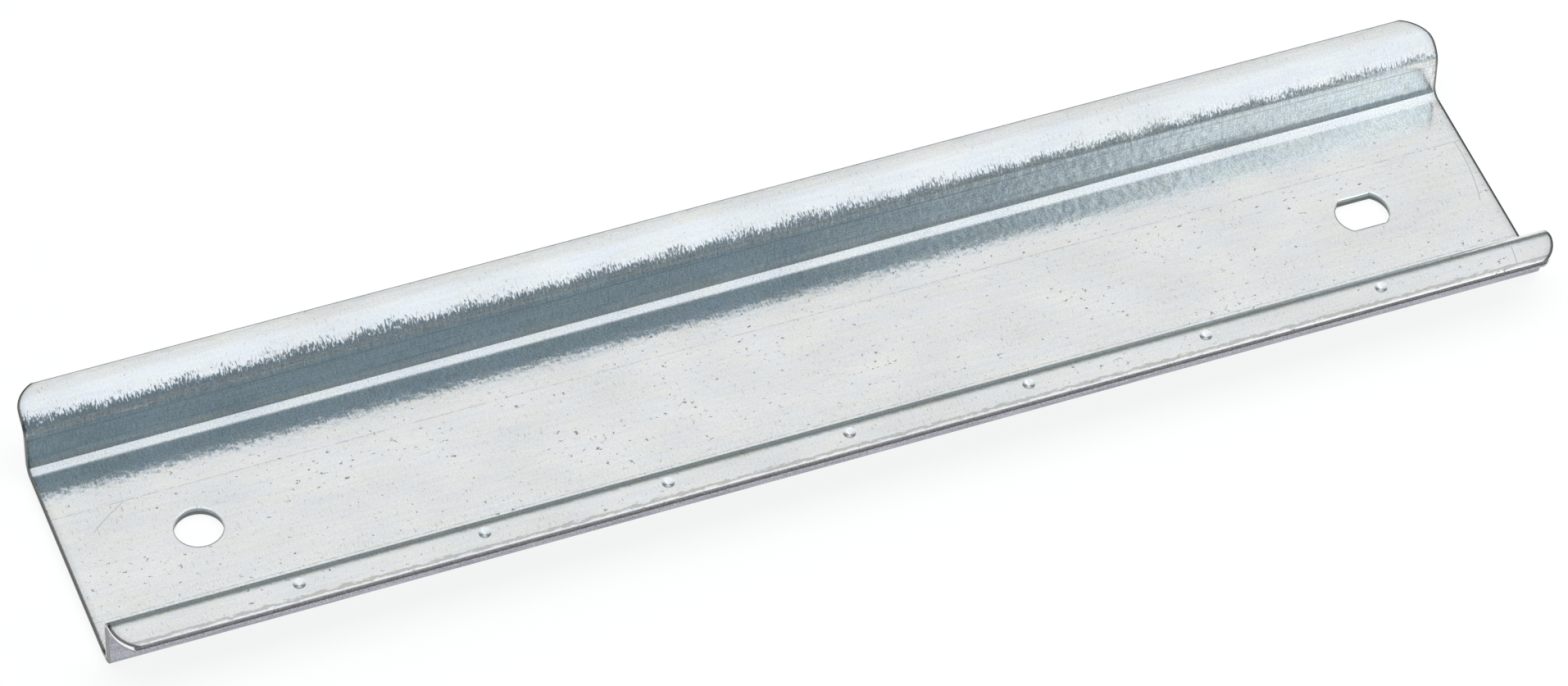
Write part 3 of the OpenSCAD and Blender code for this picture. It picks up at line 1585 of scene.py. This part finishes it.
@dataclass(frozen=True)
class ViewPoint:
    """Camera place, given by where it aims and from which direction."""

    aim: tuple = (0.352 * MM, 3.089 * MM, 1.0 * MM)
    distance: float = 812.06 * MM
    azimuth: float = -21.745
    elevation: float = 48.026
    roll: float = 1.379
    lens: float = 190.73
    sensor: float = 36.0
    clip: tuple = (0.01, 50.0)

    def build(self) -> bpy.types.Object:
        """Make the camera and use it.

        Returns:
            The camera.
        """
        turn, tilt, roll = map(math.radians, (self.azimuth, self.elevation, self.roll))
        right = Vector((math.cos(turn), math.sin(turn), 0.0))
        level = math.cos(tilt)
        back = Vector((math.sin(turn) * level, -math.cos(turn) * level, math.sin(tilt)))
        up = back.cross(right)
        across = right * math.cos(roll) + up * math.sin(roll)
        upright = up * math.cos(roll) - right * math.sin(roll)
        data = bpy.data.cameras.new("camera")
        data.lens = self.lens
        data.sensor_width = self.sensor
        data.clip_start, data.clip_end = self.clip
        camera = add_object("camera", data)
        axes = Matrix((across, upright, back)).transposed()
        place = Vector(self.aim) + back * self.distance
        camera.matrix_world = Matrix.Translation(place) @ axes.to_4x4()
        bpy.context.scene.camera = camera
        return camera


@dataclass(frozen=True)
class Lamp:
    """Area lamp: a panel that faces down, turned about X by its tilt in degrees."""

    name: str
    place: tuple
    tilt: float
    size: tuple
    power: float
    mirrored: bool = True

    def build(self) -> bpy.types.Object:
        """Hang the lamp.

        Returns:
            The lamp.
        """
        data = bpy.data.lights.new(self.name, "AREA")
        data.shape = "RECTANGLE"
        data.size, data.size_y = self.size
        data.energy = self.power
        lamp = add_object(self.name, data)
        tilted = Matrix.Rotation(math.radians(self.tilt), 4, "X")
        lamp.matrix_world = Matrix.Translation(self.place) @ tilted
        lamp.visible_camera = False
        lamp.visible_glossy = self.mirrored
        return lamp


@dataclass(frozen=True)
class Studio:
    """Pale floor, sky, lamps and camera."""

    floor_size: float = 12.0
    floor_paint: tuple = (0.9, 0.9, 0.9, 1.0)
    floor_glow: float = 0.85

    # the sky that the rail mirrors, and where its tones change over
    low_sky: tuple = (0.2, 0.23, 0.225)
    high_sky: tuple = (0.9, 0.9, 0.9)
    zenith: tuple = (1.02, 1.06, 1.12)
    near_sky: tuple = (0.2, 0.27, 0.32)
    low_to_high: tuple = (0.34, 0.7)
    high_to_zenith: tuple = (0.78, 0.95)
    far_to_near: tuple = (-0.2, -0.5)

    view: ViewPoint = ViewPoint()
    lamps: tuple = (
        Lamp("overhead_panel", (0.2, -0.05, 1.4), 0.0, (1.8, 1.0), 12.0, mirrored=False),
        Lamp("front_card", (0.345, -0.205, 0.262), 40.0, (0.4, 0.4), 0.42),
    )

    def build(self) -> None:
        """Make the camera, the floor, the world and the lamps."""
        self.view.build()
        self._floor()
        self._world()
        for lamp in self.lamps:
            lamp.build()
        bpy.context.scene.view_settings.view_transform = "Standard"
        log.info("studio: camera, floor, world and %d lamps", len(self.lamps))

    def _floor(self) -> None:
        """Lay the pale floor under the rail."""
        half = self.floor_size / 2
        corners = [(-half, -half, 0), (half, -half, 0), (half, half, 0), (-half, half, 0)]
        mesh = bpy.data.meshes.new("floor")
        mesh.from_pydata(corners, [], [(0, 1, 2, 3)])
        floor = add_object("floor", mesh)
        made, bench = new_material("pale_floor")
        paint = bench.node("ShaderNodeBsdfDiffuse", None, {"Color": self.floor_paint})
        glow = bench.node("ShaderNodeEmission", None, {"Strength": 1.0})
        mixed = bench.blend(self.seen(bench) * self.floor_glow, paint, glow)
        bench.node("ShaderNodeOutputMaterial", None, {0: mixed})
        mesh.materials.append(made)

    @staticmethod
    def seen(bench: Bench) -> Signal:
        """Pick out the rays from the camera and those that gloss or glass sends on.

        Args:
            bench: the tree's builder.

        Returns:
            1 for those rays, 0 for all others.
        """
        path = bench.node("ShaderNodeLightPath")
        names = ("Is Camera Ray", "Is Glossy Ray", "Is Transmission Ray")
        camera, glossy, clear = (Signal(bench, path.outputs[name]) for name in names)
        return camera.high(glossy).high(clear)

    def _world(self) -> None:
        """Light the scene from a sky that is bright beyond the rail and dim behind the camera."""
        world = bpy.data.worlds.new("studio")
        bpy.context.scene.world = world
        world.use_nodes = True
        bench = Bench(world.node_tree)
        way = bench.node("ShaderNodeTexCoord").outputs["Generated"]
        _, depth, rise = bench.split(way)
        colour = bench.mix(rise.step(*self.low_to_high), self.low_sky, self.high_sky)
        colour = bench.mix(rise.step(*self.high_to_zenith), colour, self.zenith)
        colour = bench.mix(depth.step(*self.far_to_near), colour, self.near_sky)
        sky = bench.node("ShaderNodeBackground", None, {"Color": colour, "Strength": 1.0})
        links = {"Color": (1.0, 1.0, 1.0, 1.0), "Strength": 1.0}
        plain = bench.node("ShaderNodeBackground", None, links)
        camera = bench.node("ShaderNodeLightPath").outputs["Is Camera Ray"]
        bench.node("ShaderNodeOutputWorld", None, {0: bench.blend(camera, sky, plain)})


def main() -> None:
    """Build the rail and its studio."""
    logging.basicConfig(level=logging.INFO, format="%(name)s: %(message)s")
    rail = Rail().build()
    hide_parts("rail")
    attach(rail, "root")
    Studio().build()


if __name__ == "__main__":
    main()
